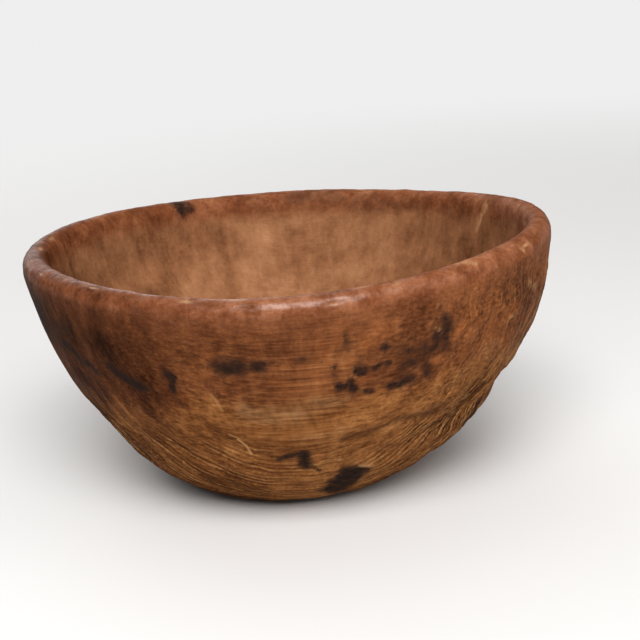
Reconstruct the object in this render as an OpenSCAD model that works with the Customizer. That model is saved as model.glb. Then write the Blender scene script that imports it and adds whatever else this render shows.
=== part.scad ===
// Round wooden dough bowl, hewn by hand from one block of burl wood.
// The origin is on the table under the middle of the bowl, +Z is up, +X is the bowl's right side
// and -Y is its front. Angles turn from +X towards +Y, as seen from above.

/* [Rim] */
// Outside length of the bowl at the rim, left to right
rim_length = 260; // [200:1:340]
// Outside width of the bowl at the rim, front to back
rim_width = 250; // [190:1:330]
// Thickness of the rim between its outer and its inner edge
rim_thickness = 12.5; // [8:0.5:20]
// Height of the rounded top of the rim above its two edges
rim_crown = 6.5; // [2:0.5:12]

/* [Height and foot] */
// Height of the top of the rim above the table, apart from its waves and corners
bowl_height = 121; // [90:1:160]
// Thickness of the wood under the middle of the hollow
floor_thickness = 17; // [10:1:30]
// Diameter of the flat foot that the bowl rests on
foot_diameter = 102; // [60:1:130]

/* [Hewn unevenness] */
// How far the rim stands higher on one side than its mean
rim_lean = 1; // [0:0.1:4]
// How far the two ends of the rim stand above its mean
rim_saddle = 2; // [0:0.1:5]
// Height of the three slow waves along the rim
rim_ripple = 1.5; // [0:0.1:4]
// How far the rim rises at its back left corner
left_corner_rise = 3.4; // [0:0.1:6]
// How far the rim rises at its back right corner
right_corner_rise = 2.8; // [0:0.1:6]
// How far the rim swells from its mean plan on three sides
plan_swell = 1; // [0:0.1:4]
// How much thicker the rim is on one side than its mean
thickness_swing = 1; // [0:0.1:3]
// How far the right shoulder swells out under the rim
right_shoulder_swell = 3.5; // [0:0.5:6]
// Depth of the hollow hewn out below the hip on the right
right_hip_depth = 8; // [0:0.5:10]
// Depth of the hollow hewn out below the hip on the left
left_hip_depth = 2.5; // [0:0.5:8]

/* [Burl on the right] */
// Depth of the crease between the burl and the wood below it
crease_depth = 4; // [0:0.5:6]
// Width of that crease
crease_width = 14; // [10:1:24]
// How far the burl's lumps stand above and sink below the wall
burl_height = 1.2; // [0:0.1:3]
// Distance between neighbouring lumps of the burl
burl_spacing = 26; // [20:1:40]

/* [Hidden] */

// Directions, in degrees, that the unevenness points to, and how far round it spreads
lean_angle = -41;
saddle_angle = -15;
ripple_angle = -29;
left_corner_angle = 150;
right_corner_angle = 20;
corner_spread = 36;
swell_angle = 70;
thick_angle = 150;
right_side_angle = -22;
right_side_spread = 38;
left_hip_angle = 205;
left_hip_spread = 30;
crease_angle = -28;
crease_spread = 42;
burl_angle = -8;
burl_spread = 56;

// Where the shoulder and the hips lie on the outer wall, and how wide they are, along its run
// from foot to rim
right_shoulder_place_share = 0.83;
right_shoulder_width_share = 0.16;
right_hip_place_share = 0.21;
right_hip_width_share = 0.22;
left_hip_place_share = 0.55;
left_hip_width_share = 0.12;

// Height of the crease at its middle, and how far it rises over its spread, of the bowl's height
crease_place_share = 0.39;
crease_rise_share = 0.09;

// Spacing of the burl's lumps round and up the wall, and of the sway that makes them uneven,
// and how far they sway, in degrees
burl_round_share = 1;
burl_round_sway_share = 1.9;
burl_up_share = 1.2;
burl_up_sway_share = 2.3;
burl_sway = 70;

// How the outer wall bellies from the foot to the rim: the two middle control points of its curve,
// as shares of the way out and of the way up
wall_out_shares = [0.35, 0.86];
wall_up_shares = [0.02, 0.39];

// How the hollow runs from the middle of its floor to the inner edge of the rim, in the same way
hollow_out_shares = [0.75, 0.97];
hollow_up_shares = [0, 0.45];

// Facets round the bowl, up the outer wall, over the rim and down the hollow
turn_steps = 100;
wall_steps = 22;
rim_steps = 6;
hollow_steps = 14;

// How far the rough block reaches below the foot before it is trimmed flat
overrun = 1;

half_length = rim_length / 2;
half_width = rim_width / 2;
foot_radius = foot_diameter / 2;
wall_run = norm([half_length - foot_radius, bowl_height]);
wood_brown = [0.47, 0.30, 0.18];

// Height or reach of a smooth wave at an angle: its size, how often it repeats, and where it peaks
function wave(angle, size, repeats, peak) = size * cos(repeats * (angle - peak));

// Cubic curve from 0 to 1 with two middle control values
function curve(shares, s) =
    3 * s * pow(1 - s, 2) * shares[0] + 3 * pow(s, 2) * (1 - s) * shares[1] + pow(s, 3);

// Bell from 1 at the middle to 0 well outside its spread
function bell(offset, spread) = exp(-pow(offset / spread, 2));

// Turn between two directions, from -180 to 180 degrees
function turn_between(angle, other) = (angle - other + 540) % 360 - 180;

// Bell round the bowl, from 1 in one direction to 0 well outside its spread
function facing(angle, other, spread) = bell(turn_between(angle, other), spread);

function rim_radius(angle) =
    half_length * half_width / norm([half_width * cos(angle), half_length * sin(angle)])
    + wave(angle, plan_swell, 3, swell_angle);

function rim_edge_height(angle) =
    bowl_height - rim_crown
    + wave(angle, rim_lean, 1, lean_angle)
    + wave(angle, rim_saddle, 2, saddle_angle)
    + wave(angle, rim_ripple, 3, ripple_angle)
    + left_corner_rise * facing(angle, left_corner_angle, corner_spread)
    + right_corner_rise * facing(angle, right_corner_angle, corner_spread);

function rim_wall(angle) = rim_thickness + wave(angle, thickness_swing, 1, thick_angle);

// Shoulder that swells the wall and hips that thin it
function side_swell(angle, s) =
    facing(angle, right_side_angle, right_side_spread)
        * (right_shoulder_swell * bell(s - right_shoulder_place_share, right_shoulder_width_share)
           - right_hip_depth * bell(s - right_hip_place_share, right_hip_width_share))
    - left_hip_depth * bell(s - left_hip_place_share, left_hip_width_share)
        * facing(angle, left_hip_angle, left_hip_spread);

// Crease that climbs slowly to the right between the burl and the wood below it
function crease_cut(angle, height) =
    let (turn = turn_between(angle, crease_angle),
         middle = bowl_height * (crease_place_share + crease_rise_share * turn / crease_spread))
    crease_depth * bell(height - middle, crease_width / 2) * bell(turn, crease_spread);

// Phase, in degrees, of lumps that repeat every so many shares of the burl's spacing
function phase(run, share) = 360 * run / (share * burl_spacing);

// Uneven lumps of the burl, which die out towards the foot and the rim
function burl_lumps(angle, s) =
    let (round = half_length * turn_between(angle, burl_angle) * PI / 180, up = wall_run * s)
    burl_height * facing(angle, burl_angle, burl_spread) * 4 * s * (1 - s)
        * sin(phase(round, burl_round_share) + burl_sway * sin(phase(up, burl_up_sway_share)))
        * sin(phase(up, burl_up_share) + burl_sway * sin(phase(round, burl_round_sway_share)));

function at(angle, radius, height) = [radius * cos(angle), radius * sin(angle), height];

// Outer wall, from the edge of the foot at 0 to the outer edge of the rim at 1
function wall_point(angle, s) =
    let (height = rim_edge_height(angle) * curve(wall_up_shares, s))
    at(angle,
       foot_radius + (rim_radius(angle) - foot_radius) * curve(wall_out_shares, s)
           + side_swell(angle, s) - crease_cut(angle, height) + burl_lumps(angle, s),
       height);

// Underside of the rough block: the wall's first facet carried on below the edge of the foot
function block_point(angle) =
    let (edge = wall_point(angle, 0), first = wall_point(angle, 1 / wall_steps))
    edge + (edge - first) * overrun / first.z;

// Rounded rim, from its outer edge at 0 degrees to its inner edge at 180
function rim_point(angle, over) =
    at(angle,
       rim_radius(angle) - rim_wall(angle) / 2 + rim_wall(angle) / 2 * cos(over),
       rim_edge_height(angle) + rim_crown * sin(over));

// Hollow, from the middle of its floor at 0 to the inner edge of the rim at 1
function hollow_point(angle, s) =
    at(angle,
       (rim_radius(angle) - rim_wall(angle)) * curve(hollow_out_shares, s),
       floor_thickness
           + (rim_edge_height(angle) - floor_thickness) * curve(hollow_up_shares, s));

// One point of the skin: rings are counted from the foot, over the rim, to the hollow's floor
function skin_point(angle, ring) =
    ring == 0 ? block_point(angle)
    : ring <= wall_steps ? wall_point(angle, ring / wall_steps)
    : ring <= wall_steps + rim_steps ? rim_point(angle, 180 * (ring - wall_steps) / rim_steps)
    : hollow_point(angle, 1 - (ring - wall_steps - rim_steps) / hollow_steps);

// The last ring of the hollow is its middle point alone
rings = wall_steps + rim_steps + hollow_steps;

function skin_index(ring, step) = ring * turn_steps + step % turn_steps;

// Bowl carved from one block: outer wall with its burl and hips, rounded rim and hollow, trimmed
// to a flat foot
module bowl() {
    middle_of_floor = rings * turn_steps;
    points = concat(
        [for (ring = [0 : rings - 1]) for (step = [0 : turn_steps - 1])
            skin_point(360 * step / turn_steps, ring)],
        [[0, 0, floor_thickness]]);
    skin = [for (ring = [0 : rings - 2]) for (step = [0 : turn_steps - 1]) each [
        [skin_index(ring, step), skin_index(ring + 1, step), skin_index(ring + 1, step + 1)],
        [skin_index(ring, step), skin_index(ring + 1, step + 1), skin_index(ring, step + 1)]]];
    floor_fan = [for (step = [0 : turn_steps - 1])
        [skin_index(rings - 1, step), middle_of_floor, skin_index(rings - 1, step + 1)]];
    underside = [[for (step = [0 : turn_steps - 1]) skin_index(0, step)]];
    color(wood_brown) difference() {
        polyhedron(points, concat(skin, floor_fan, underside));
        translate([0, 0, -2 * overrun]) cylinder(h = 2 * overrun, d = rim_length);
    }
}

bowl();
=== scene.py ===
"""Looks of the dough bowl: one hewn piece of old burl wood on a pale studio floor.

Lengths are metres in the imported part's frame, or millimetres where a name ends in _mm.
Pixels are those of the photograph, 640 by 640. Angles turn from +X towards +Y, in degrees.
"""

import functools
import itertools
import logging
import math
from dataclasses import dataclass
from enum import Enum

import bpy
import numpy as np
from mathutils import Matrix, Vector
from mathutils.bvhtree import BVHTree


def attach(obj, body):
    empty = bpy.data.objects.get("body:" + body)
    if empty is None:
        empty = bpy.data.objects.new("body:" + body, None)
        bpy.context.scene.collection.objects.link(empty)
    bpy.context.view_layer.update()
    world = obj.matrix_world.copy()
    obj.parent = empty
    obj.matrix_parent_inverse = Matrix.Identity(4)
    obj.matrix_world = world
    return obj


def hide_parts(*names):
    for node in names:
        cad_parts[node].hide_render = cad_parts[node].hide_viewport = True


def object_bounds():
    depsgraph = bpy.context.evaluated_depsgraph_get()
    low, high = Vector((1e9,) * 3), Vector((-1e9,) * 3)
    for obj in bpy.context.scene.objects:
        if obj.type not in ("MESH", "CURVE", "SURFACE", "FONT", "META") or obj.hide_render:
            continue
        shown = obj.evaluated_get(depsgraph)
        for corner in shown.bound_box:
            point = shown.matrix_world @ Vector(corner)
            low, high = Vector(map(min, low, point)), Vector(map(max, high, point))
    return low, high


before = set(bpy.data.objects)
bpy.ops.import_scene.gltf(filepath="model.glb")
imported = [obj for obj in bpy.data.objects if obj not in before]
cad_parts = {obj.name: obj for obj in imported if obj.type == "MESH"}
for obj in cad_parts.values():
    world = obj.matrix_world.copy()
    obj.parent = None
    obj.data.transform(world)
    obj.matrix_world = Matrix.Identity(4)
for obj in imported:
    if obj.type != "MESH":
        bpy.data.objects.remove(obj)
CAD_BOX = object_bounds()

LOG = logging.getLogger("dough_bowl")
MM = 1000.0
WAVE_RATE = 20.0  # radians of a Wave texture's phase for each unit of its vector
NOISE_GAIN, NOISE_MIDDLE = 3.6, 0.5  # bring a Noise texture to about -1 to 1
MIX_SHARE, MIX_FIRST, MIX_SECOND, MIX_RESULT = 0, 6, 7, 2  # sockets of a Mix node for colours
Pixel = tuple[float, float]
Triple = tuple[float, float, float]
Colour = Triple
Stops = tuple[tuple[float, Colour], ...]


def ease(low: float, high: float, value: np.ndarray) -> np.ndarray:
    """Smooth step from 0 at low to 1 at high."""
    share = np.clip((value - low) / (high - low), 0.0, 1.0)
    return share * share * (3.0 - 2.0 * share)


def bell(offset: np.ndarray, spread: float) -> np.ndarray:
    """Bell that is 1 at no offset and fades past the spread."""
    return np.exp(-((offset / spread) ** 2))


def turn_between(angle: np.ndarray, other: float) -> np.ndarray:
    """Turn from one direction to others, from -180 to 180 degrees."""
    return (angle - other + 180.0) % 360.0 - 180.0


def cubic(first: float, second: float, share: float) -> float:
    """Cubic curve from 0 to 1 with two middle control values."""
    rest = 1.0 - share
    return 3 * share * rest**2 * first + 3 * share**2 * rest * second + share**3


class SolidNoise:
    """Seeded gradient noise in space, the same on every run."""

    WORD = 0xFFFFFFFF
    AXIS_PRIMES = (73856093, 19349663, 83492791)
    SEED_PRIME, SALT_PRIME = 2654435761, 40503
    ROUNDS = ((15, 2246822519), (13, 3266489917))
    LAST_SHIFT = 16
    GAIN = 1.5
    OCTAVE_SHIFT = 17.3

    def __init__(self, seed: int) -> None:
        """Keeps the seed.

        Args:
            seed: any whole number; another seed gives another pattern.
        """
        self.seed = seed

    def _spin(self, cell: np.ndarray, salt: int) -> np.ndarray:
        """Numbers from -1 to 1, one for each lattice cell."""
        mixed = functools.reduce(np.bitwise_xor, (cell * self.AXIS_PRIMES).T)
        mixed = (mixed ^ (self.seed * self.SEED_PRIME + salt * self.SALT_PRIME)) & self.WORD
        for shift, prime in self.ROUNDS:
            mixed = ((mixed ^ (mixed >> shift)) * prime) & self.WORD
        return (mixed ^ (mixed >> self.LAST_SHIFT)) / (self.WORD >> 1) - 1.0

    def once(self, points: np.ndarray) -> np.ndarray:
        """One octave at points given in lattice cells, from about -1 to 1."""
        cell = np.floor(points).astype(np.int64)
        inside = points - cell
        weight = inside**3 * (inside * (inside * 6.0 - 15.0) + 10.0)
        total = np.zeros(len(points))
        for corner in itertools.product((0, 1), repeat=3):
            step = np.array(corner)
            share = np.prod(np.where(step, weight, 1.0 - weight), axis=1)
            slope = np.stack([self._spin(cell + step, salt) for salt in range(3)], axis=1)
            total += share * np.sum(slope * (inside - step), axis=1)
        return total * self.GAIN

    def at(self, points_mm: np.ndarray, cell_mm: float | Triple, octaves: int = 1) -> np.ndarray:
        """Noise at points in space.

        Args:
            points_mm: one row for each point.
            cell_mm: size of the coarsest cells, alike each way or one number for each axis.
            octaves: how many times the pattern is repeated at half the size.

        Returns:
            One number for each point, from about -1 to 1.
        """
        scaled = points_mm / np.array(cell_mm)
        return sum(self.once(scaled * 2**i + self.OCTAVE_SHIFT * i) * 0.5**i for i in range(octaves))


@dataclass(frozen=True)
class PhotoCamera:
    """Camera at the photograph's place, angle and focal length."""

    place: Triple = (0.0, -0.664, 0.2595)
    yaw_deg: float = 1.16
    pitch_deg: float = 15.6
    roll_deg: float = 3.75
    focal_px: float = 1356.0
    picture_px: float = 640.0
    sensor_mm: float = 36.0
    clip: tuple[float, float] = (0.01, 100.0)

    def axes(self) -> tuple[Vector, Vector, Vector]:
        """Directions in space of the picture's right, its down and its depth."""
        yaw, pitch, roll = (math.radians(a) for a in (self.yaw_deg, self.pitch_deg, self.roll_deg))
        flat = math.cos(pitch)
        ahead = Vector((math.sin(yaw) * flat, math.cos(yaw) * flat, -math.sin(pitch)))
        level = Vector((math.cos(yaw), -math.sin(yaw), 0.0))
        down = ahead.cross(level)
        right = level * math.cos(roll) + down * math.sin(roll)
        return right, down * math.cos(roll) - level * math.sin(roll), ahead

    def ray(self, pixel: Pixel) -> Vector:
        """Direction from the camera through a pixel."""
        right, down, ahead = self.axes()
        across, below = ((p - self.picture_px / 2) / self.focal_px for p in pixel)
        return (ahead + right * across + down * below).normalized()

    def build(self) -> None:
        """Adds the camera and makes it the scene's own."""
        right, down, ahead = self.axes()
        data = bpy.data.cameras.new("photo_camera")
        data.sensor_width = self.sensor_mm
        data.lens = self.focal_px / self.picture_px * self.sensor_mm
        data.clip_start, data.clip_end = self.clip
        camera = bpy.data.objects.new("photo_camera", data)
        turn = Matrix((right, -down, -ahead)).transposed()
        camera.matrix_world = Matrix.Translation(self.place) @ turn.to_4x4()
        bpy.context.scene.collection.objects.link(camera)
        bpy.context.scene.camera = camera


class Mark(Enum):
    """What a stroke leaves on the wood."""

    STAIN = "stain"
    # Dirt, and, on the strokes along the fold at the lower right, painted shade.
    GRIME_AND_SHADE = "grime"
    PALE = "pale"
    AMBER = "amber"
    OLIVE = "olive"


@dataclass(frozen=True)
class Stroke:
    """A mark or a cut that follows a few pixels of the photograph.

    Attributes:
        route: pixels that the stroke passes through.
        half_px: half its width, in pixels.
        mark: what it leaves on the wood.
        weight: how strongly it marks, from 0 to 1.
        lift_mm: how far it raises the surface, or cuts it where below 0.
        ragged: how far its edge strays, as a share of half its width.
    """

    route: tuple[Pixel, ...]
    half_px: float
    mark: Mark = Mark.STAIN
    weight: float = 1.0
    lift_mm: float = 0.0
    ragged: float = 0.55


BLACK_STAINS = (
    Stroke(((57, 324), (66, 330)), 5, weight=0.6),
    Stroke(((65, 343), (75, 352), (82, 361)), 6, weight=0.9),
    Stroke(((88, 363), (98, 373)), 5, weight=0.8),
    Stroke(((110, 367), (119, 375), (129, 382), (139, 386)), 5.5, ragged=0.35),
    Stroke(((143, 386), (147, 389)), 4, weight=0.65),
    Stroke(((166, 374), (172, 377)), 5, weight=0.95, ragged=0.35),
    Stroke(((172, 380), (173, 390)), 4.5, weight=0.9, ragged=0.35),
    Stroke(((180, 400), (183, 406)), 4, weight=0.5),
    Stroke(((218, 367), (228, 369), (240, 369)), 7.5, weight=0.9),
    Stroke(((256, 365), (262, 366)), 6, weight=0.9),
    Stroke(((265, 364), (273, 363)), 3, weight=0.55),
    Stroke(((298, 361), (304, 361)), 4.5, weight=0.65),
    Stroke(((313, 361), (320, 361)), 3.5, weight=0.5),
    Stroke(((347, 334), (349, 348)), 4.5, weight=0.5),
    Stroke(((336, 353), (341, 353)), 5, weight=0.45),
    Stroke(((364, 325), (367, 329)), 4, weight=0.42),
    Stroke(((334, 368), (336, 378)), 5, weight=0.6),
    Stroke(((348, 372), (350, 378)), 4, weight=0.5),
    Stroke(((340, 386), (343, 387)), 5),
    Stroke(((351, 383), (352, 388)), 5),
    Stroke(((365, 391), (372, 391)), 3.5, weight=0.9),
    Stroke(((358, 370), (363, 370)), 5.5, weight=1.1),
    Stroke(((374, 367), (387, 363)), 4, weight=0.95),
    Stroke(((388, 386), (396, 385)), 4.5),
    Stroke(((403, 382), (410, 379)), 5.5, weight=1.05),
    Stroke(((384, 347), (386, 348)), 4.5, weight=0.95),
    Stroke(((361, 357), (363, 357)), 3, weight=0.8),
    Stroke(((445, 320), (447, 332), (446, 346)), 7, weight=0.68),
    Stroke(((440, 334), (436, 344), (430, 350)), 8, weight=0.68),
    Stroke(((424, 346), (416, 352), (405, 352)), 7, weight=0.55),
    Stroke(((404, 364), (414, 362), (424, 360)), 6, weight=0.52),
    Stroke(((427, 366), (428, 373)), 5, weight=0.85),
    Stroke(((279, 459), (290, 457), (300, 455)), 4, weight=0.8),
    Stroke(((303, 455), (305, 465)), 6.5, ragged=0.35),
    Stroke(((310, 465), (321, 472)), 1.6, weight=0.8),
    Stroke(((348, 471), (360, 473)), 8.5, weight=1.2, ragged=0.4),
    Stroke(((343, 477), (355, 478)), 9, weight=1.2, ragged=0.4),
    Stroke(((337, 483), (348, 484)), 9, weight=1.2, ragged=0.4),
    Stroke(((331, 489), (339, 490)), 9, weight=1.2, ragged=0.4),
    Stroke(((482, 398), (474, 410), (466, 422)), 5.5, weight=0.75),
)

SMUDGES = (
    Stroke(((350, 348), (385, 354), (425, 360)), 20, Mark.GRIME_AND_SHADE, 0.34),
    Stroke(((340, 378), (375, 380)), 12, Mark.GRIME_AND_SHADE, 0.34),
    Stroke(((66, 345), (95, 368), (140, 384)), 13, Mark.GRIME_AND_SHADE, 0.25),
    Stroke(((424, 443), (450, 432), (470, 415)), 13, Mark.GRIME_AND_SHADE, 0.42),
)

HOLLOW_STAINS = (
    Stroke(((180, 204), (184, 209)), 8),
    Stroke(((170, 221), (178, 225)), 9, Mark.GRIME_AND_SHADE, 0.42),
    Stroke(((140, 212), (146, 224)), 7, Mark.GRIME_AND_SHADE, 0.5),
    Stroke(((203, 232), (208, 234)), 5, Mark.GRIME_AND_SHADE, 0.35),
    Stroke(((240, 199), (262, 202)), 9, Mark.GRIME_AND_SHADE, 0.5),
    Stroke(((290, 197), (318, 193), (340, 196)), 10, Mark.GRIME_AND_SHADE, 0.7),
    Stroke(((360, 202), (400, 205), (425, 204)), 11, Mark.GRIME_AND_SHADE, 0.65),
    Stroke(((440, 205), (470, 208)), 9, Mark.GRIME_AND_SHADE, 0.5),
    Stroke(((95, 230), (102, 244)), 9, Mark.GRIME_AND_SHADE, 0.45),
    Stroke(((496, 206), (512, 224)), 15, Mark.GRIME_AND_SHADE, 0.42),
    Stroke(((486, 205), (482, 215), (477, 227)), 4, Mark.PALE, 0.6, -0.5),
)

RIM_SCUFFS = (
    Stroke(((385, 281), (396, 284)), 3.5, Mark.PALE, 0.55, -0.3),
    Stroke(((456, 263), (474, 262)), 4, Mark.PALE, 0.45, -0.2),
    Stroke(((330, 293), (352, 289)), 2, Mark.GRIME_AND_SHADE, 0.7, -0.2),
    Stroke(((300, 291), (345, 286)), 1.6, Mark.GRIME_AND_SHADE, 0.6),
    Stroke(((180, 300), (205, 303)), 3, Mark.GRIME_AND_SHADE, 0.6, -0.3),
    Stroke(((240, 306), (252, 307)), 2.5, Mark.GRIME_AND_SHADE, 0.6, -0.4),
    Stroke(((524, 222), (534, 232)), 4, Mark.PALE, 0.4, -0.3),
)

SCARS = (
    Stroke(((477, 313), (464, 325), (456, 337), (452, 347)), 4.5, Mark.AMBER, 0.5, 1.2),
    Stroke(((432, 362), (445, 360)), 4.5, Mark.AMBER, 0.65, 0.8),
    Stroke(((482, 312), (468, 328), (461, 342)), 2.5, Mark.GRIME_AND_SHADE, 0.6, -0.4),
    Stroke(((316, 458), (322, 457)), 5, Mark.AMBER, 0.6, 0.4),
    Stroke(((362, 456), (368, 452)), 7, Mark.AMBER, 0.5),
    Stroke(((338, 460), (342, 459)), 4.5, Mark.PALE, 0.5, 0.5),
    Stroke(((361, 465), (370, 465)), 4, Mark.PALE, 0.6, 0.6),
    Stroke(((322, 459), (326, 459)), 2.2, Mark.GRIME_AND_SHADE, 1.0, -0.9),
    Stroke(((366, 468), (370, 468)), 2.2, Mark.GRIME_AND_SHADE, 1.0, -0.9),
    Stroke(((437, 326), (440, 329)), 2.5, Mark.PALE, 0.5, 0.3),
    Stroke(((529, 284), (537, 286)), 5, Mark.PALE, 0.5, 0.4),
    Stroke(((510, 317), (517, 313)), 3, Mark.PALE, 0.5, 0.4),
    Stroke(((487, 356), (497, 362)), 3.5, Mark.PALE, 0.35, 0.4),
    Stroke(((496, 298), (504, 306)), 6, Mark.AMBER, 0.5, 0.6),
    Stroke(((522, 249), (524, 250)), 3, Mark.PALE, 0.6),
    Stroke(((126, 312), (129, 328)), 5, Mark.AMBER, 0.45),
    Stroke(((139, 297), (141, 313)), 5, Mark.GRIME_AND_SHADE, 0.5),
    Stroke(((98, 312), (103, 326)), 5, Mark.GRIME_AND_SHADE, 0.5),
    Stroke(((246, 412), (270, 416), (300, 413)), 11, Mark.OLIVE, 0.8),
    Stroke(((318, 404), (345, 402)), 9, Mark.OLIVE, 0.55),
    Stroke(((300, 438), (340, 432)), 9, Mark.OLIVE, 0.5),
    Stroke(((455, 380), (478, 362), (494, 344)), 9, Mark.OLIVE, 0.4),
)

# Fold at the lower right: the dark strokes are painted shade in and above it, and the pale stroke on the lip
# below is a painted highlight.
CREASES = (
    Stroke(((345, 440), (367, 436), (393, 423), (420, 417), (446, 411)), 7, Mark.GRIME_AND_SHADE, 0.6, -0.9, 0.25),
    Stroke(((430, 412), (450, 403), (468, 390), (486, 375)), 8, Mark.GRIME_AND_SHADE, 0.5, -0.4, 0.25),
    Stroke(((436, 430), (446, 421), (453, 413), (466, 401), (484, 383)), 4, Mark.GRIME_AND_SHADE, 1.0, -1.6, 0.2),
    Stroke(((440, 434), (458, 424), (472, 409)), 8, Mark.PALE, 0.1, 1.0, 0.25),
    Stroke(((455, 425), (466, 414), (478, 403)), 3, Mark.GRIME_AND_SHADE, 0.8, -0.6, 0.25),
)

PALE_LINES = (
    Stroke(((211, 395), (216, 401), (222, 411)), 1.6, weight=0.26),
    Stroke(((229, 435), (239, 439), (246, 446)), 1.1, weight=0.4),
    Stroke(((238, 440), (246, 446), (251, 454)), 1.5, weight=0.6),
    # Pale line along the crest of the fold: a painted highlight.
    Stroke(((470, 394), (458, 404), (450, 413)), 1.3, weight=0.3),
    Stroke(((541, 297), (531, 321), (521, 338), (506, 364)), 3.0, weight=0.25),
    Stroke(((535, 300), (527, 321), (522, 330)), 2.4, weight=0.22),
    Stroke(((522, 323), (516, 337), (508, 351)), 2.2, weight=0.22),
)

DARK_LINES = (
    Stroke(((152, 435), (170, 442), (196, 452)), 1.4, weight=0.6),
    Stroke(((133, 438), (145, 447), (157, 454)), 1.3, weight=0.6),
    # The next two are painted shade in the fold's crevices.
    Stroke(((448, 417), (435, 424), (427, 428)), 1.3, weight=0.6),
    Stroke(((446, 421), (430, 433)), 1.4, weight=0.6),
    Stroke(((538, 298), (529, 322), (519, 340)), 2.4, weight=0.6),
    Stroke(((530, 303), (524, 321), (519, 330)), 2.0, weight=0.5),
    Stroke(((222, 411), (231, 421), (238, 431)), 1.5, weight=0.25),
    Stroke(((258, 396), (266, 408), (276, 422)), 2.2, weight=0.14),
    Stroke(((280, 398), (289, 410), (296, 426)), 2.2, weight=0.16),
    Stroke(((299, 400), (309, 413), (318, 432)), 2.2, weight=0.18),
    Stroke(((318, 400), (328, 416), (334, 430)), 2.0, weight=0.14),
    Stroke(((170, 435), (186, 437), (203, 436)), 1.6, weight=0.4),
    Stroke(((198, 439), (214, 438), (232, 439)), 1.5, weight=0.35),
    Stroke(((224, 470), (230, 479), (238, 488)), 1.2, weight=0.3),
)

BREAK_LINE = ((95, 402), (150, 430), (250, 446), (340, 442), (400, 422), (440, 405), (490, 372))
TAN_LINE = ((80, 385), (150, 402), (250, 400), (340, 396), (400, 390), (450, 372), (515, 345))


@dataclass(frozen=True)
class Ring:
    """One ring of the blank.

    Attributes:
        run: place along the skin: 0 the foot's middle, 1 its edge, 2 and 3 the rim's edges,
            4 the hollow's middle.
        radius: of the ring.
        height: above the table.
    """

    run: float
    radius: float
    height: float


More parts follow.
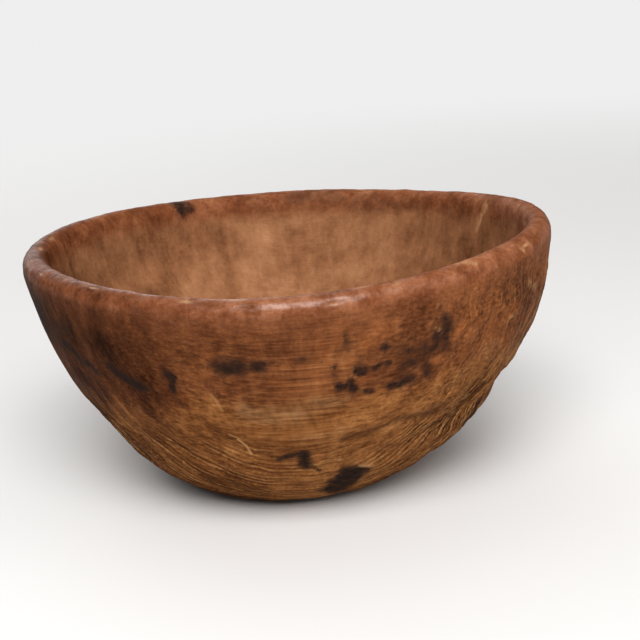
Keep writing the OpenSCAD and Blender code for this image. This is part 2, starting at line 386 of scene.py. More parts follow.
@dataclass
class BowlBlank:
    """Bowl roughed out of its block, ring by ring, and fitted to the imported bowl."""

    node: str = "bowl"
    sectors: int = 60
    foot_radius: float = 0.051
    eye_radius: float = 0.008
    rim_wall: float = 0.0125
    rim_crown: float = 0.0065
    floor_thickness: float = 0.017
    wall_out: tuple[float, float] = (0.35, 0.86)
    wall_up: tuple[float, float] = (0.02, 0.39)
    hollow_out: tuple[float, float] = (0.75, 0.97)
    hollow_up: tuple[float, float] = (0.0, 0.45)
    wall_bands: int = 14
    rim_bands: int = 4
    hollow_bands: int = 5
    fine_levels: int = 2
    sector_overlap: float = 1.2
    floor_gap_bands: float = 0.25
    smoothing: float = 0.2

    def _lips(self) -> tuple[np.ndarray, np.ndarray]:
        """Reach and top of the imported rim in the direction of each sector."""
        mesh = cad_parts[self.node].data
        places = np.zeros(len(mesh.vertices) * 3)
        mesh.vertices.foreach_get("co", places)
        places = places.reshape(-1, 3)
        angle = np.degrees(np.arctan2(places[:, 1], places[:, 0]))
        half = 180.0 / self.sectors
        wide = self.sector_overlap * half
        near = [np.abs(turn_between(angle, 2 * half * i)) < wide for i in range(self.sectors)]
        reach = np.array([np.hypot(places[n, 0], places[n, 1]).max() for n in near])
        return reach, np.array([places[n, 2].max() for n in near])

    def rings(self, reach: float, top: float) -> list[Ring]:
        """Rings from the middle of the foot, up the wall, over the rim and down into the hollow.

        Args:
            reach: mean reach of the rim.
            top: mean height of its top.

        Returns:
            The rings, in order.
        """
        edge = top - self.rim_crown
        rings = [
            Ring(0.0, self.eye_radius, 0.0),
            Ring(0.5, (self.eye_radius + self.foot_radius) / 2, 0.0),
            Ring(1.0, self.foot_radius, 0.0),
        ]
        for i in range(1, self.wall_bands + 1):
            share = i / self.wall_bands
            out = self.foot_radius + (reach - self.foot_radius) * cubic(*self.wall_out, share)
            rings.append(Ring(1.0 + share, out, edge * cubic(*self.wall_up, share)))
        for i in range(1, self.rim_bands + 1):
            over = math.pi * i / self.rim_bands
            out = reach - self.rim_wall / 2 * (1.0 - math.cos(over))
            rings.append(Ring(2.0 + i / self.rim_bands, out, edge + self.rim_crown * math.sin(over)))
        mouth = reach - self.rim_wall
        for i in range(1, self.hollow_bands + 1):
            share = 1.0 - i / (self.hollow_bands + self.floor_gap_bands)
            up = self.floor_thickness + (edge - self.floor_thickness) * cubic(*self.hollow_up, share)
            rings.append(Ring(4.0 - share, mouth * cubic(*self.hollow_out, share), up))
        return rings

    def _finish(self, blank: bpy.types.Object, kind: str, **settings: object) -> None:
        """Adds one modifier to the blank and applies it.

        Args:
            blank: the object, active in object mode.
            kind: the modifier's type.
            settings: its properties.
        """
        modifier = blank.modifiers.new(kind.lower(), kind)
        for name, value in settings.items():
            setattr(modifier, name, value)
        bpy.ops.object.modifier_apply(modifier=modifier.name)

    def _lean(self, blank: bpy.types.Object, runs: np.ndarray, reach: np.ndarray, top: np.ndarray) -> None:
        """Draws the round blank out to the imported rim's uneven plan and height.

        Args:
            blank: the object.
            runs: place along the skin, one for each point.
            reach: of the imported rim, one for each sector.
            top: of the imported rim, one for each sector.
        """
        places = np.zeros(len(runs) * 3)
        blank.data.vertices.foreach_get("co", places)
        places = places.reshape(-1, 3)
        angle = np.degrees(np.arctan2(places[:, 1], places[:, 0])) % 360.0
        sector = np.rint(angle * self.sectors / 360.0).astype(int) % self.sectors
        raised = ease(1.0, 2.0, runs) * ease(4.0, 3.0, runs)
        places[:, :2] *= (1.0 + raised * (reach[sector] / reach.mean() - 1.0))[:, None]
        places[:, 2] += raised * (top[sector] - top.mean())
        blank.data.vertices.foreach_set("co", places.ravel())
        blank.data.update()

    def build(self, name: str) -> bpy.types.Object:
        """Extrudes the rings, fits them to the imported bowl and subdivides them.

        Args:
            name: the finished piece's name.

        Returns:
            The blank, with its run along the skin in the attribute "run".
        """
        reach, top = self._lips()
        rings = self.rings(float(reach.mean()), float(top.mean()))
        bpy.ops.object.select_all(action="DESELECT")
        bpy.ops.mesh.primitive_circle_add(
            vertices=self.sectors, radius=rings[0].radius, fill_type="NGON", location=(0, 0, 0)
        )
        blank = bpy.context.object
        blank.name = blank.data.name = name
        bpy.ops.object.mode_set(mode="EDIT")
        bpy.ops.mesh.select_all(action="SELECT")
        for last, ring in itertools.pairwise(rings):
            rise = (0.0, 0.0, ring.height - last.height)
            bpy.ops.mesh.extrude_region_move(TRANSFORM_OT_translate={"value": rise})
            widen = ring.radius / last.radius
            bpy.ops.transform.resize(value=(widen, widen, 1.0), center_override=(0.0, 0.0, ring.height))
        bpy.ops.mesh.select_all(action="SELECT")
        bpy.ops.mesh.normals_make_consistent(inside=False)
        bpy.ops.object.mode_set(mode="OBJECT")
        runs = np.repeat([ring.run for ring in rings], self.sectors)
        blank.data.attributes.new("run", "FLOAT", "POINT").data.foreach_set("value", runs)
        self._lean(blank, runs, reach, top)
        self._finish(blank, "SUBSURF", levels=1, render_levels=1)
        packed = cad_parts[self.node]
        self._finish(blank, "SHRINKWRAP", target=packed, wrap_method="NEAREST_SURFACEPOINT")
        self._finish(blank, "SMOOTH", factor=self.smoothing, iterations=1)
        self._finish(blank, "SUBSURF", levels=self.fine_levels, render_levels=self.fine_levels)
        bpy.ops.object.shade_smooth()
        return blank


@dataclass(frozen=True)
class Cut:
    """A stroke placed on the skin: its points and half its width in millimetres, and its weight."""

    route_mm: np.ndarray
    half_mm: float
    weight: float


@dataclass(frozen=True)
class Spatter:
    """Ranges of the stains on the sides that the photograph doesn't show, in degrees and millimetres."""

    seed: int = 51
    clusters: int = 12
    turn: tuple[float, float] = (15.0, 175.0)
    rise_mm: tuple[float, float] = (30.0, 96.0)
    blots: tuple[int, int] = (2, 8)
    spread: tuple[float, float] = (7.0, 5.0)
    swing: tuple[float, float] = (1.4, 1.0)
    half_mm: tuple[float, float] = (1.6, 3.2)
    weight: tuple[float, float] = (0.4, 0.9)


@dataclass(frozen=True)
class Dents:
    """Ranges of the dents that long use leaves all round the rim."""

    seed: int = 61
    count: int = 46
    run: tuple[float, float] = (2.05, 2.75)
    half_run: tuple[float, float] = (0.03, 0.10)
    half_turn: tuple[float, float] = (0.8, 3.0)
    depth_mm: tuple[float, float] = (0.2, 0.7)
    weight: tuple[float, float] = (0.3, 0.6)
    ragged: float = 0.35
    grimy: float = 0.6


class HewnSkin:
    """Skin of the shaped blank: its points, how the hewer and the years have changed them, and where shade and
    light are painted on it.

    The sides are each a middle direction and a spread, in degrees.
    """

    RIGHT_SIDE = (-8.0, 56.0)
    LEFT_SIDE = (-166.0, 52.0)
    FRONT_SIDE = (-98.0, 46.0)
    SMOOTH_SIDE = (-84.0, 24.0)
    PAINTED_LIGHT_SPREAD_MM = 62.0
    FOOT_WEAR_MM = 0.3

    def __init__(self, piece: bpy.types.Object, camera: PhotoCamera) -> None:
        """Reads the blank's points.

        Args:
            piece: the shaped blank.
            camera: where the strokes' pixels are seen from.
        """
        mesh = piece.data
        self.piece = piece
        self.camera = camera
        count = len(mesh.vertices)
        places, normals, run = np.zeros(count * 3), np.zeros(count * 3), np.zeros(count)
        mesh.vertices.foreach_get("co", places)
        mesh.vertices.foreach_get("normal", normals)
        mesh.attributes["run"].data.foreach_get("value", run)
        self.points_mm = places.reshape(-1, 3) * MM
        self.normals = normals.reshape(-1, 3)
        self.run = run
        self.angle = np.degrees(np.arctan2(self.points_mm[:, 1], self.points_mm[:, 0]))
        self.tree = BVHTree.FromObject(piece, bpy.context.evaluated_depsgraph_get())
        self.wall = ease(0.9, 1.02, run) * ease(2.1, 1.95, run)
        self.rim = ease(1.9, 2.1, run) * ease(3.06, 2.9, run)
        self.hollow = ease(2.88, 3.06, run)
        self.foot = ease(1.05, 0.95, run)
        # Painted light: the hollow is made paler towards its middle.
        self.painted_light_middle = self.hollow * bell(self.points_mm[:, 0], self.PAINTED_LIGHT_SPREAD_MM)
        self.right, self.left = self.facing(*self.RIGHT_SIDE), self.facing(*self.LEFT_SIDE)
        front = self.facing(*self.FRONT_SIDE)
        self.polish = ease(1.95, 2.15, run) * ease(2.8, 2.45, run) * (0.35 + 0.65 * front)
        stray = [SolidNoise(40 + i).at(self.points_mm, 5.0, 2) for i in range(3)]
        self.stray = np.stack(stray, axis=1)
        self.marks = {mark: np.full(count, -1.0) for mark in Mark}
        self._lay_out_grain()

    def facing(self, middle: float, spread: float) -> np.ndarray:
        """How squarely each point faces a direction: 1 at its middle, fading past the spread."""
        return bell(turn_between(self.angle, middle), spread)

    def _lay_out_grain(self) -> None:
        """Works out the wood's upright layers, and where it is rough, tan or burled."""
        p, z = self.points_mm, self.points_mm[:, 2]
        slow = SolidNoise(3).at(p, 70.0, 2)
        self.burl = self.wall * np.clip(self.right + 0.35 * SolidNoise(5).at(p, 45.0), 0.0, 1.0)
        swirl = SolidNoise(7).at(p, 13.0, 2)
        unseen = ease(-0.45, 0.1, self.normals[:, 1])
        drift = SolidNoise(11).at(p, 40.0, 2) * (1.0 + 2.5 * unseen)
        self.rough = self.wall * ease(7.0, -9.0, z - self.height_along(BREAK_LINE) - 4.0 * drift)
        self.rough *= 1.0 - 0.55 * self.facing(*self.SMOOTH_SIDE)
        ends = np.abs(np.cos(np.radians(self.angle)))
        self.fibrous = (self.rough + 0.3 * self.burl) * ease(1.0, 0.9, ends) * (1.0 - 0.5 * unseen)
        blend = 14.0 + 12.0 * unseen
        self.tan = ease(1.0, -1.0, (z - self.height_along(TAN_LINE) - 6.0 * drift) / blend)
        layer = p[:, 1] + 1.6 * slow + 2.6 * swirl * self.burl * (1.0 - self.rough)
        self.across = ease(0.06, 0.36, 1.0 - np.abs(self.normals[:, 1]))
        self.grain = np.stack([p[:, 0], layer, z], axis=1)

    def hit(self, pixel: Pixel) -> tuple[np.ndarray, float]:
        """Finds the place on the skin behind a pixel.

        Args:
            pixel: a pixel on the bowl or just beside its outline.

        Returns:
            The place, or the nearest one on the outline, and its distance from the camera, in millimetres.
        """
        start, ray = Vector(self.camera.place), self.camera.ray(pixel)
        place = self.tree.ray_cast(start, ray)[0]
        if place is None:
            middle = (CAD_BOX[0] + CAD_BOX[1]) / 2
            place = self.tree.find_nearest(start + ray * (middle - start).dot(ray))[0]
        return np.array(place) * MM, (place - start).length * MM

    def height_along(self, route: tuple[Pixel, ...]) -> np.ndarray:
        """Height, at each point's angle, of a line drawn round the bowl through a few pixels."""
        places = np.array([self.hit(pixel)[0] for pixel in route])
        turns = np.degrees(np.arctan2(places[:, 1], places[:, 0]))
        order = np.argsort(turns)
        return np.interp(self.angle, turns[order], places[order, 2], period=360.0)

    def placed(self, stroke: Stroke) -> Cut:
        """Places a stroke on the skin.

        Args:
            stroke: the stroke, in pixels.

        Returns:
            The same stroke in millimetres.
        """
        hits = [self.hit(pixel) for pixel in stroke.route]
        away_mm = float(np.mean([hit[1] for hit in hits]))
        half_mm = stroke.half_px * away_mm / self.camera.focal_px
        return Cut(np.array([hit[0] for hit in hits]), half_mm, stroke.weight)

    def nearness(self, route_mm: np.ndarray, half_mm: float, ragged: float = 0.55) -> np.ndarray:
        """How near each point lies to a ragged route: 1 on it, 0 at half its width away, and down to -1."""
        strayed = self.points_mm + ragged * half_mm * self.stray
        best = np.full(len(strayed), np.inf)
        for start, end in itertools.pairwise(route_mm):
            along = end - start
            length = max(float(along @ along), 1e-9)
            share = np.clip((strayed - start) @ along / length, 0.0, 1.0)
            gap = strayed - start - share[:, None] * along
            best = np.minimum(best, np.sum(gap * gap, axis=1))
        return np.clip(1.0 - np.sqrt(best) / half_mm, -1.0, 1.0)

    def draw(self, strokes: tuple[Stroke, ...]) -> np.ndarray:
        """Draws strokes into the marks and sums the relief that they leave.

        Args:
            strokes: the strokes to draw.

        Returns:
            How far each point is lifted, in millimetres.
        """
        lift = np.zeros(len(self.points_mm))
        for stroke in strokes:
            cut = self.placed(stroke)
            near = self.nearness(cut.route_mm, cut.half_mm, stroke.ragged)
            self.stamp(stroke.mark, near, stroke.weight)
            lift += stroke.lift_mm * ease(-0.2, 0.8, near)
        return lift

    def stamp(self, mark: Mark, near: np.ndarray, weight: float) -> None:
        """Adds a stroke's nearness to a mark, so that a weak one stays weak in its middle."""
        self.marks[mark] = np.maximum(self.marks[mark], (near + 1.0) * weight - 1.0)

    def scatter(self, plan: Spatter) -> None:
        """Stains the sides that the photograph doesn't show, in ragged groups like those that it does."""
        draw = np.random.default_rng(plan.seed)
        for _ in range(plan.clusters):
            turn, rise = draw.uniform(*plan.turn), draw.uniform(*plan.rise_mm)
            for _ in range(draw.integers(*plan.blots)):
                spot = [middle + draw.normal(0.0, s) for middle, s in zip((turn, rise), plan.spread)]
                swing = [draw.normal(0.0, s) for s in plan.swing]
                route = [self.beside(spot[0] + s * swing[0], spot[1] + s * swing[1]) for s in (-1.0, 1.0)]
                near = self.nearness(np.array(route), draw.uniform(*plan.half_mm))
                self.stamp(Mark.STAIN, near, draw.uniform(*plan.weight))

    def nick(self, plan: Dents) -> np.ndarray:
        """Dents the rim, and returns how far each point is lifted, in millimetres, all below 0."""
        draw = np.random.default_rng(plan.seed)
        lift = np.zeros(len(self.points_mm))
        for turn in draw.uniform(0.0, 360.0, plan.count):
            over, half_run = draw.uniform(*plan.run), draw.uniform(*plan.half_run)
            aside = turn_between(self.angle, turn) / draw.uniform(*plan.half_turn)
            away = np.hypot(aside, (self.run - over) / half_run)
            dent = bell(away + plan.ragged * self.stray[:, 0], 1.0)
            lift -= draw.uniform(*plan.depth_mm) * dent
            mark = Mark.GRIME_AND_SHADE if draw.random() < plan.grimy else Mark.PALE
            self.stamp(mark, 2.0 * dent - 1.0, draw.uniform(*plan.weight))
        return lift

    def beside(self, turn: float, height_mm: float) -> np.ndarray:
        """Place on the outer wall in a direction and at a height, in millimetres."""
        out = Vector((math.cos(math.radians(turn)), math.sin(math.radians(turn)), 0.0))
        place = self.tree.ray_cast(out + Vector((0.0, 0.0, height_mm / MM)), -out)[0]
        return np.array(place) * MM

    def relief_mm(self) -> np.ndarray:
        """All that stands up from or is cut into the fitted blank, in millimetres."""
        p, grain = self.points_mm, self.grain
        hewing = SolidNoise(21).at(p, 32.0, 2)
        ridges = SolidNoise(23).at(grain, (60.0, 3.6, 60.0), 2)
        steps = SolidNoise(25).at(grain, (90.0, 9.0, 90.0))
        lumps = SolidNoise(29).at(p, 10.0, 2)
        beads = SolidNoise(30).at(p, 4.6)
        shreds = 1.0 - 2.5 * np.abs(SolidNoise(35).at(grain, (22.0, 3.4, 22.0), 2))
        scallops = SolidNoise(31).at(p, 24.0, 2)
        relief = 0.45 * hewing * (self.wall + 0.5 * self.rim)
        relief += (0.10 * ridges + 0.12 * steps) * (1.0 - self.hollow)
        relief += (0.25 * steps + 0.40 * lumps - 0.2) * self.rough
        relief += (0.35 * ridges + 0.40 * shreds) * self.fibrous
        relief += 0.20 * ridges * self.left * self.wall
        relief += (0.5 * lumps + 0.3 * beads - 0.25) * self.burl
        relief += 0.35 * scallops * self.hollow
        relief += 0.25 * SolidNoise(33).at(p, 8.0, 2) * (self.foot + self.rim)
        return relief

    def store(self, name: str, values: np.ndarray) -> None:
        """Keeps numbers or vectors of the points as an attribute of the mesh."""
        kind, key = ("FLOAT", "value") if values.ndim == 1 else ("FLOAT_VECTOR", "vector")
        layer = self.piece.data.attributes.new(name, kind, "POINT")
        layer.data.foreach_set(key, np.ascontiguousarray(values, dtype=np.float32).ravel())

    def hew(self) -> None:
        """Moves the points by the relief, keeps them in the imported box, and stores what the finish reads."""
        self.scatter(Spatter())
        drawn = (BLACK_STAINS, SMUDGES, HOLLOW_STAINS, RIM_SCUFFS, SCARS, CREASES)
        relief = self.relief_mm() + sum(self.draw(strokes) for strokes in drawn) + self.nick(Dents())
        relief -= self.FOOT_WEAR_MM * self.foot
        moved = (self.points_mm + self.normals * relief[:, None]) / MM
        low, high = (np.array(corner) for corner in CAD_BOX)
        moved = np.clip(moved, low, high)
        self.piece.data.vertices.foreach_set("co", moved.ravel())
        self.piece.data.update()
        self.store("grain", self.grain)
        # Painted shade: the upper part of the left side of the outer wall is made darker.
        painted_left_shade = self.left * (1.0 - self.hollow) * ease(72.0, 100.0, self.points_mm[:, 2])
        self.store("zones", np.stack([self.rim, self.hollow, painted_left_shade], axis=1))
        self.store("wood", np.stack([self.tan, self.rough, self.burl], axis=1))
        left = self.left * (1.0 - self.hollow) * (1.0 - self.foot)
        self.store("sides", np.stack([left, self.across, relief], axis=1))
        # Rim polish, the hollow's painted light, and where the wood is fibrous.
        self.store("wear", np.stack([self.polish, self.painted_light_middle, self.fibrous], axis=1))
        for mark, field in self.marks.items():
            self.store(mark.value, field)


class Wire:
    """An output of a shader node; arithmetic on it adds Math nodes."""

    def __init__(self, bench: "ShaderBench", socket: bpy.types.NodeSocket) -> None:
        """Keeps the socket and the bench it belongs to."""
        self.bench = bench
        self.socket = socket

    def __add__(self, other: "Wire | float") -> "Wire":
        """Sum."""
        return self.bench.math("ADD", self, other)

    __radd__ = __add__

    def __sub__(self, other: "Wire | float") -> "Wire":
        """Difference."""
        return self.bench.math("SUBTRACT", self, other)

    def __rsub__(self, other: float) -> "Wire":
        """Difference from a number."""
        return self.bench.math("SUBTRACT", other, self)

    def __mul__(self, other: "Wire | float") -> "Wire":
        """Product."""
        return self.bench.math("MULTIPLY", self, other)

    __rmul__ = __mul__

    def least(self, other: "Wire") -> "Wire":
        """The lesser of two."""
        return self.bench.math("MINIMUM", self, other)

    def most(self, other: "Wire | float") -> "Wire":
        """The greater of two."""
        return self.bench.math("MAXIMUM", self, other)

    def ease(self, low: float, high: float) -> "Wire":
        """Smooth step from 0 at low to 1 at high."""
        sockets = {"Value": self, "From Min": low, "From Max": high}
        return self.bench.node("ShaderNodeMapRange", {"interpolation_type": "SMOOTHSTEP"}, sockets)


class ShaderBench:
    """A material's node tree, and short ways to add nodes to it."""

    def __init__(self, name: str) -> None:
        """Starts an empty material.

        Args:
            name: the material's name.
        """
        self.material = bpy.data.materials.new(name)
        self.material.use_nodes = True
        self.tree = self.material.node_tree
        self.tree.nodes.clear()

    def node(
        self, kind: str, settings: dict | None = None, sockets: dict | None = None, out: int | str = 0
    ) -> Wire:
        """Adds a node.

        Args:
            kind: the node's type.
            settings: properties, set first; "stops" are a ramp's places and colours.
            sockets: values or wires for its inputs, by name or number.
            out: which output to return.

        Returns:
            The chosen output.
        """
        made = self.tree.nodes.new(kind)
        for name, value in (settings or {}).items():
            if name == "stops":
                self._set_stops(made.color_ramp, value)
            else:
                setattr(made, name, value)
        for name, value in (sockets or {}).items():
            if isinstance(value, Wire):
                self.tree.links.new(value.socket, made.inputs[name])
            else:
                made.inputs[name].default_value = value
        return Wire(self, made.outputs[out]) if made.outputs else Wire(self, None)

    @staticmethod
    def _set_stops(ramp: bpy.types.ColorRamp, stops: Stops) -> None:
        """Gives a ramp its stops."""
        while len(ramp.elements) < len(stops):
            ramp.elements.new(0.5)
        for element, (place, colour) in zip(ramp.elements, stops):
            element.position = place
            element.color = (*colour, 1.0)

    def math(self, operation: str, *values: "Wire | float") -> Wire:
        """Adds a Math node."""
        return self.node("ShaderNodeMath", {"operation": operation}, dict(enumerate(values)))

    def vector(
        self, operation: str, *values: "Wire | Triple", out: str = "Vector", **sockets: object
    ) -> Wire:
        """Adds a Vector Math node."""
        every = dict(enumerate(values)) | sockets
        return self.node("ShaderNodeVectorMath", {"operation": operation}, every, out)

    def mix(self, share: "Wire | float", first: "Wire | Colour", second: "Wire | Colour") -> Wire:
        """Mixes two colours."""
        first, second = (v if isinstance(v, Wire) else (*v, 1.0) for v in (first, second))
        sockets = {MIX_SHARE: share, MIX_FIRST: first, MIX_SECOND: second}
        return self.node("ShaderNodeMix", {"data_type": "RGBA"}, sockets, MIX_RESULT)

    def ramp(self, tone: Wire, stops: Stops) -> Wire:
        """Turns a tone from 0 to 1 into a colour."""
        return self.node("ShaderNodeValToRGB", {"stops": stops}, {0: tone})

    def shade(self, colour: Wire, light: Wire) -> Wire:
        """Makes a colour lighter or darker by a factor."""
        return self.vector("SCALE", colour, Scale=light)

    def swing(self, vector: Wire, cell: Triple, detail: float = 3.0, roughness: float = 0.55) -> Wire:
        """Noise from about -1 to 1 whose cells have a size, in the vector's units."""
        place = self.vector("DIVIDE", vector, cell)
        sockets = {"Vector": place, "Scale": 1.0, "Detail": detail, "Roughness": roughness}
        return NOISE_GAIN * (self.node("ShaderNodeTexNoise", None, sockets) - NOISE_MIDDLE)

    def ribs(self, vector: Wire, pitch: float, length: float, stray: float) -> Wire:
        """Adds uneven parallel ribs across the vector's second axis.

        Args:
            vector: place, in millimetres.
            pitch: distance between neighbouring ribs.
            length: how far along a rib its shape keeps.
            stray: how unevenly the ribs lie, in radians of their phase.

        Returns:
            0 in the gaps between the ribs and 1 on their crests.
        """
        place = self.vector("DIVIDE", vector, (length, pitch * WAVE_RATE / math.tau, length))
        sockets = {"Vector": place, "Scale": 1.0, "Distortion": stray, "Detail": 3.0, "Detail Scale": 1.0}
        return self.node("ShaderNodeTexWave", {"bands_direction": "Y"}, sockets, "Fac")

    def attribute(self, name: str, out: str = "Fac") -> Wire:
        """Reads an attribute of the mesh."""
        return self.node("ShaderNodeAttribute", {"attribute_name": name}, None, out)

    def parts(self, name: str) -> tuple[Wire, Wire, Wire]:
        """Reads a vector attribute's three numbers."""
        split = self.node("ShaderNodeSeparateXYZ", None, {0: self.attribute(name, "Vector")}).socket.node
        return tuple(Wire(self, output) for output in split.outputs)

    def gap(self, place: Wire, start: np.ndarray, end: np.ndarray) -> Wire:
        """Distance of a place from the straight line between two points."""
        along = end - start
        ahead = self.vector("SUBTRACT", place, tuple(start))
        reach = self.vector("DOT_PRODUCT", ahead, tuple(along / (along @ along)), out="Value")
        share = self.node("ShaderNodeClamp", None, {"Value": reach})
        nearest = self.vector("SCALE", tuple(along), Scale=share)
        return self.vector("DISTANCE", ahead, nearest, out="Value")


@dataclass(frozen=True)
class BurlWood:
    """Old oiled burl: russet above, tan and rough below, with black stains and a rim polished by hands."""

    upper: Stops = (
        (0.0, (0.030, 0.008, 0.002)),
        (0.3, (0.092, 0.029, 0.010)),
        (0.6, (0.190, 0.065, 0.022)),
        (1.0, (0.336, 0.134, 0.050)),
    )
    lower: Stops = (
        (0.0, (0.036, 0.011, 0.003)),
        (0.3, (0.130, 0.044, 0.012)),
        (0.6, (0.270, 0.106, 0.032)),
        (1.0, (0.490, 0.238, 0.082)),
    )
    sallow: Stops = (
        (0.0, (0.084, 0.037, 0.014)),
        (0.4, (0.228, 0.110, 0.044)),
        (1.0, (0.456, 0.252, 0.108)),
    )
    hollow: Stops = (
        (0.0, (0.088, 0.031, 0.012)),
        (0.5, (0.236, 0.102, 0.045)),
        (1.0, (0.380, 0.184, 0.090)),
    )
    rim: Stops = (
        (0.0, (0.045, 0.012, 0.004)),
        (0.4, (0.150, 0.046, 0.017)),
        (1.0, (0.350, 0.142, 0.066)),
    )
    rust: Colour = (0.210, 0.058, 0.015)
    bark: Colour = (0.024, 0.007, 0.002)
    straw: Colour = (0.500, 0.275, 0.105)
    stain: Colour = (0.017, 0.009, 0.0065)
    grime: Colour = (0.055, 0.024, 0.012)
    pale: Colour = (0.540, 0.310, 0.145)
    amber: Colour = (0.320, 0.105, 0.032)
    specular: float = 0.02
    polish_roughness: float = 0.30

    def build(self, name: str, pale_cuts: list[Cut], dark_cuts: list[Cut]) -> bpy.types.Material:
        """Makes the material.

        Args:
            name: the material's name.
            pale_cuts: thin scratches that show fresh wood, and a painted highlight along the crest of the fold
                at the lower right.
            dark_cuts: thin scratches that have filled with dirt, and painted shade in the fold's crevices.

        Returns:
            The material, which reads the attributes that the skin stores.
        """
        bench = ShaderBench(name)
        rim, hollow, painted_left_shade = bench.parts("zones")
        tan, rough, burl = bench.parts("wood")
        left, across, relief = bench.parts("sides")
        grain = bench.attribute("grain", "Vector")
        polish, painted_light_middle, fibrous = bench.parts("wear")
        place = bench.node("ShaderNodeTexCoord", None, None, "Object")
        space = bench.vector("SCALE", place, Scale=MM)

        layers = bench.swing(grain, (110.0, 8.0, 110.0), 2.0)
        rings = bench.swing(grain, (60.0, 2.0, 60.0), 4.0, 0.6)
        hairs = bench.swing(grain, (26.0, 0.55, 26.0), 2.0)
        dashes = bench.swing(grain, (20.0, 3.8, 20.0), 4.0, 0.6)
        shreds = bench.swing(grain, (14.0, 3.4, 14.0), 4.0, 0.65)
        right_ribs = bench.ribs(grain, 2.0, 60.0, 3.5)
        left_ribs = bench.ribs(grain, 2.8, 60.0, 4.5)
        fray = bench.swing(grain, (9.0, 3.0, 9.0), 4.0, 0.65).ease(-0.8, 0.6)
        threads = bench.swing(space, (80.0, 1.5, 1.5), 4.0, 0.62)
        fibres = bench.swing(space, (18.0, 0.6, 0.6), 3.0)
        mottle = bench.swing(space, (10.0, 10.0, 10.0), 4.0, 0.6)
        cloud = bench.swing(space, (38.0, 38.0, 30.0), 3.0)
        bloom = bench.swing(space, (20.0, 20.0, 16.0), 3.0, 0.55)
        blots = bench.swing(space, (4.5, 3.5, 3.5), 3.0, 0.6)
        fleck = bench.swing(space, (1.8, 1.8, 1.8), 3.0, 0.6)
        drips = bench.swing(space, (4.5, 4.5, 30.0), 4.0, 0.6)
        strands = right_ribs + left * (left_ribs - right_ribs)

        torn = rough + 0.3 * burl
        tone = 0.46 + 0.14 * layers + 0.18 * cloud + 0.07 * fibres + (0.18 + (1.0 - across) * 0.10) * threads
        # Left side: its streaks, and painted shade that darkens the whole side.
        tone = tone + across * (0.08 * rings + 0.08 * hairs) + left * (0.30 * dashes - 0.30) + 0.06 * fleck
        tone = tone + torn * (0.16 * shreds + 0.16 * mottle + 0.08 * fleck - 0.05)
        tone = tone + 0.13 * drips * (1.0 - rough)
        tone = tone + burl * (0.20 * blots + 0.14 * fleck - 0.08) + 0.22 * fibrous * hairs
        upper = bench.ramp(tone, self.upper)
        upper = bench.mix((cloud + mottle).ease(-0.2, 1.0) * (0.20 + 0.35 * burl), upper, self.rust)
        share = (tan + 0.20 * layers + 0.15 * threads + 0.35 * cloud + 0.25 * mottle * burl).ease(0.1, 0.9)
        colour = bench.mix(share, upper, bench.ramp(tone + 0.05, self.lower))
        sallow = (bench.attribute("olive") + 0.5 * mottle + 0.3 * threads).ease(-0.8, 0.8)
        sallow = sallow.most((0.0 - cloud - 0.4 * mottle).ease(0.2, 1.2) * 0.5 * share)
        colour = bench.mix(sallow * 0.8, colour, bench.ramp(tone + 0.05, self.sallow))
        # Painted shade: darker in the grooves between the shreds on the rough wood.
        groove_shade = (0.0 - shreds - 0.4 * hairs).ease(0.25, 1.0) * (0.05 + 0.20 * torn)
        colour = bench.mix(groove_shade, colour, self.bark)
        patchy = fibrous * (fray + 0.15 * left) * (0.25 + 0.75 * (bloom + 0.5 * mottle).ease(-0.9, 0.7))
        # Painted shade: darker in the gaps between the strands.
        colour = bench.mix((strands + 0.15 * fleck).ease(0.6, 0.1) * 0.78 * patchy, colour, self.bark)
        # Paler crests of the strands: the fibres' own pale colour, and a painted highlight.
        crest_colour_and_highlight = (strands + 0.25 * fleck).ease(0.65, 1.15) * 0.8 * patchy
        colour = bench.mix(crest_colour_and_highlight, colour, self.straw)
        # Painted shade: darker where the burl's bumps sink.
        pit_shade = (0.0 - blots - 0.6 * fleck).ease(0.2, 1.3) * 0.45 * burl
        colour = bench.mix(pit_shade, colour, self.bark)
        # Painted shade: darkens the upper left of the outer wall.
        colour = bench.shade(colour, 1.0 - 0.68 * painted_left_shade)
        # Painted glints: pale specks standing in for highlights on the rough and burled wood.
        painted_glints = (fleck + 0.5 * blots + 0.3 * mottle).ease(0.9, 1.7) * 0.5 * torn
        colour = bench.mix(painted_glints, colour, self.straw)
        # Hollow's tone: random, and paler towards its middle as painted light.
        inner = 0.28 + 0.34 * painted_light_middle + 0.20 * cloud + 0.24 * bloom + 0.18 * mottle + 0.14 * drips
        inner = inner + 0.10 * fleck + 0.06 * rings + 0.05 * hairs + 0.05 * threads
        colour = bench.mix(hollow, colour, bench.ramp(inner, self.hollow))
        # Rim's tone: random, with painted shade that darkens it on the left.
        rim_tone = 0.50 + 0.16 * dashes + 0.28 * mottle + 0.12 * cloud + 0.14 * fleck - 0.26 * left
        colour = bench.mix(rim, colour, bench.ramp(rim_tone, self.rim))
        # Painted shade: darker where the relief sinks, outside the hollow.
        colour = bench.mix((0.0 - relief).ease(0.3, 2.0) * 0.55 * (1.0 - hollow), colour, self.bark)

        ragged = 0.22 * fleck + 0.48 * blots + 0.16 * rings
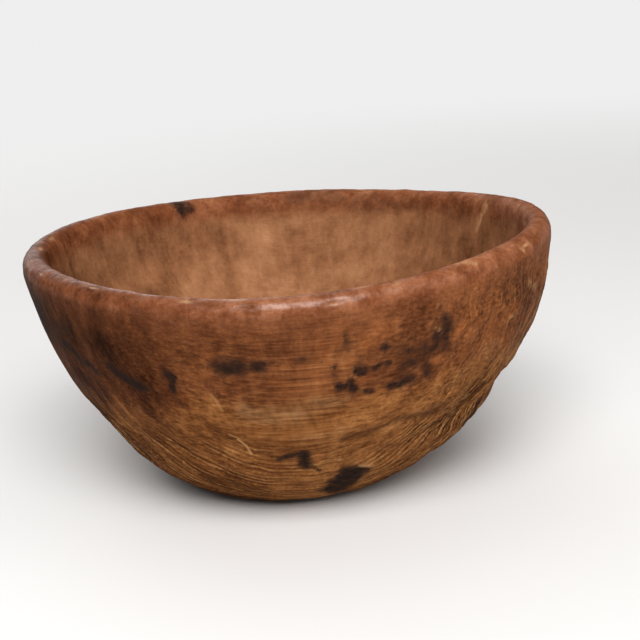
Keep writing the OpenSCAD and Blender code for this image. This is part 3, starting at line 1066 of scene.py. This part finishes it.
        # Grime, with the painted shade of the fold at the lower right.
        grime = (bench.attribute("grime") + ragged).ease(-0.7, 0.9)
        colour = bench.mix(grime * 0.7, colour, self.grime)
        field = bench.attribute("stain") + ragged
        colour = bench.mix(field.ease(-1.0, 0.2) * 0.32, colour, self.grime)
        soaked = (0.66 + 0.26 * field + 0.18 * threads + 0.14 * fleck + 0.10 * mottle).ease(0.0, 1.0)
        colour = bench.mix(field.ease(-0.75, 0.4) * soaked, colour, self.stain)
        for mark, shown in ((Mark.AMBER, self.amber), (Mark.PALE, self.pale)):
            strewn = (bench.attribute(mark.value) + 0.5 * ragged).ease(-0.7, 0.8) * 0.8
            colour = bench.mix(strewn, colour, shown)
        dark_cut = self._cuts(bench, space, dark_cuts, fibres)
        colour = bench.mix(dark_cut, colour, self.bark)
        pale_cut = self._cuts(bench, space, pale_cuts, fibres)
        colour = bench.mix(pale_cut, colour, self.straw)

        roughness = 0.62 + 0.12 * rough + 0.06 * hollow - 0.12 * rim + 0.05 * mottle + 0.04 * fibres
        height = 0.06 * fibres + 0.10 * threads * (1.0 - hollow) * (1.0 - 0.5 * rim)
        height = height + 0.04 * hairs * (1.0 - hollow) + 0.20 * dashes * left + 0.30 * torn * shreds
        height = height + (0.45 * strands + 0.10 * hairs) * patchy
        height = height + (0.30 * fleck + 0.40 * blots) * burl
        height = height + 0.08 * mottle * hollow + (0.06 * dashes + 0.05 * fleck) * rim
        height = height + 0.12 * pale_cut - 0.18 * dark_cut
        bump = bench.node("ShaderNodeBump", None, {"Strength": 1.0, "Distance": 1.0 / MM, "Height": height})
        sockets = {
            "Base Color": colour,
            "Roughness": roughness,
            "Normal": bump,
            "Specular IOR Level": self.specular,
            "Coat Weight": polish * (0.42 + 0.3 * mottle + 0.2 * fleck).ease(0.0, 1.0),
            "Coat Roughness": self.polish_roughness,
        }
        shader = bench.node("ShaderNodeBsdfPrincipled", None, sockets)
        bench.node("ShaderNodeOutputMaterial", None, {"Surface": shader})
        return bench.material

    @staticmethod
    def _cuts(bench: ShaderBench, space: Wire, cuts: list[Cut], ragged: Wire) -> Wire:
        """Where thin lines run: scratches, and the fold's painted highlight and shade.

        Args:
            bench: the material's bench.
            space: place on the bowl, in millimetres.
            cuts: the lines.
            ragged: what makes their edges uneven, from about -1 to 1.

        Returns:
            Up to each line's weight along it, and 0 away from it.
        """
        total = 0.0 * ragged
        for cut in cuts:
            gaps = [bench.gap(space, start, end) for start, end in itertools.pairwise(cut.route_mm)]
            away = functools.reduce(Wire.least, gaps) * (1.0 / cut.half_mm)
            total = total.most(cut.weight * (away + 0.3 * ragged).ease(1.6, 0.3))
        return total


@dataclass
class HewnBowl:
    """The bowl itself."""

    name: str = "hewn_bowl"
    node: str = "bowl"
    body: str = "root"
    slot: str = "burl_wood"

    def build(self, camera: PhotoCamera) -> bpy.types.Object:
        """Models, hews and dresses the bowl.

        Args:
            camera: where the strokes' pixels are seen from.

        Returns:
            The finished piece.
        """
        piece = BowlBlank(node=self.node).build(self.name)
        skin = HewnSkin(piece, camera)
        skin.hew()
        piece.data.materials.clear()
        groups = (PALE_LINES, DARK_LINES)
        pale_cuts, dark_cuts = ([skin.placed(stroke) for stroke in group] for group in groups)
        piece.data.materials.append(BurlWood().build("old_burl", pale_cuts, dark_cuts))
        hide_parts(self.node)
        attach(piece, self.body)
        return piece


@dataclass(frozen=True)
class Lamp:
    """A square soft lamp: its name, where it hangs, its side and its power in watts."""

    name: str
    place: Triple
    side: float
    watts: float


@dataclass
class Studio:
    """Pale floor, soft lamps and even surroundings."""

    lamps: tuple[Lamp, ...] = (
        Lamp("key", (0.0, -1.20, 1.30), 1.1, 45.0),
        Lamp("side", (1.4, -0.8, 0.9), 1.4, 9.0),
        Lamp("top", (0.0, 0.8, 1.9), 2.0, 9.0),
        Lamp("back", (-0.7, 1.5, 0.8), 1.4, 13.0),
    )
    aim: Triple = (0.0, 0.0, 0.06)
    floor_side: float = 40.0
    floor_roughness: float = 0.9
    floor_colour: Colour = (0.62, 0.61, 0.60)
    sky_colour: Colour = (0.86, 0.86, 0.86)
    sky_light: float = 0.26
    fade_from: float = 0.25
    fade_to: float = 1.6

    def build(self) -> bpy.types.Object:
        """Adds the floor, the lamps and the world.

        Returns:
            The floor.
        """
        bpy.ops.object.select_all(action="DESELECT")
        bpy.ops.mesh.primitive_plane_add(size=self.floor_side, location=(0, 0, 0))
        floor = bpy.context.object
        floor.name = "studio_floor"
        bench = ShaderBench("studio_floor")
        sockets = {"Base Color": (*self.floor_colour, 1.0), "Roughness": self.floor_roughness}
        cloth = bench.node("ShaderNodeBsdfPrincipled", None, sockets)
        glow = bench.node("ShaderNodeEmission", None, {"Color": (*self.sky_colour, 1.0)})
        place = bench.node("ShaderNodeTexCoord", None, None, "Object")
        away = bench.vector("LENGTH", place, out="Value")
        seen = bench.node("ShaderNodeLightPath", None, None, "Is Camera Ray")
        share = away.ease(self.fade_from, self.fade_to) * seen
        shader = bench.node("ShaderNodeMixShader", None, {0: share, 1: cloth, 2: glow})
        bench.node("ShaderNodeOutputMaterial", None, {"Surface": shader})
        floor.data.materials.append(bench.material)
        for lamp in self.lamps:
            self._hang(lamp)
        self._world()
        return floor

    def _hang(self, lamp: Lamp) -> None:
        """Adds a lamp that looks at the bowl."""
        data = bpy.data.lights.new(lamp.name, "AREA")
        data.shape, data.size, data.energy = "SQUARE", lamp.side, lamp.watts
        hung = bpy.data.objects.new(lamp.name, data)
        hung.location = lamp.place
        hung.rotation_euler = (Vector(self.aim) - Vector(lamp.place)).to_track_quat("-Z", "Y").to_euler()
        bpy.context.scene.collection.objects.link(hung)

    def _world(self) -> None:
        """Makes even surroundings."""
        world = bpy.data.worlds.new("studio")
        world.use_nodes = True
        background = world.node_tree.nodes["Background"]
        background.inputs["Color"].default_value = (*self.sky_colour, 1.0)
        background.inputs["Strength"].default_value = self.sky_light
        bpy.context.scene.world = world


def main() -> None:
    """Builds the scene."""
    logging.basicConfig(level=logging.INFO)
    bpy.context.scene.view_settings.view_transform = "Standard"
    camera = PhotoCamera()
    camera.build()
    piece = HewnBowl().build(camera)
    LOG.info("%s: %d faces", piece.name, len(piece.data.polygons))
    LOG.info("stage: %s", Studio().build().name)


if __name__ == "__main__":
    main()
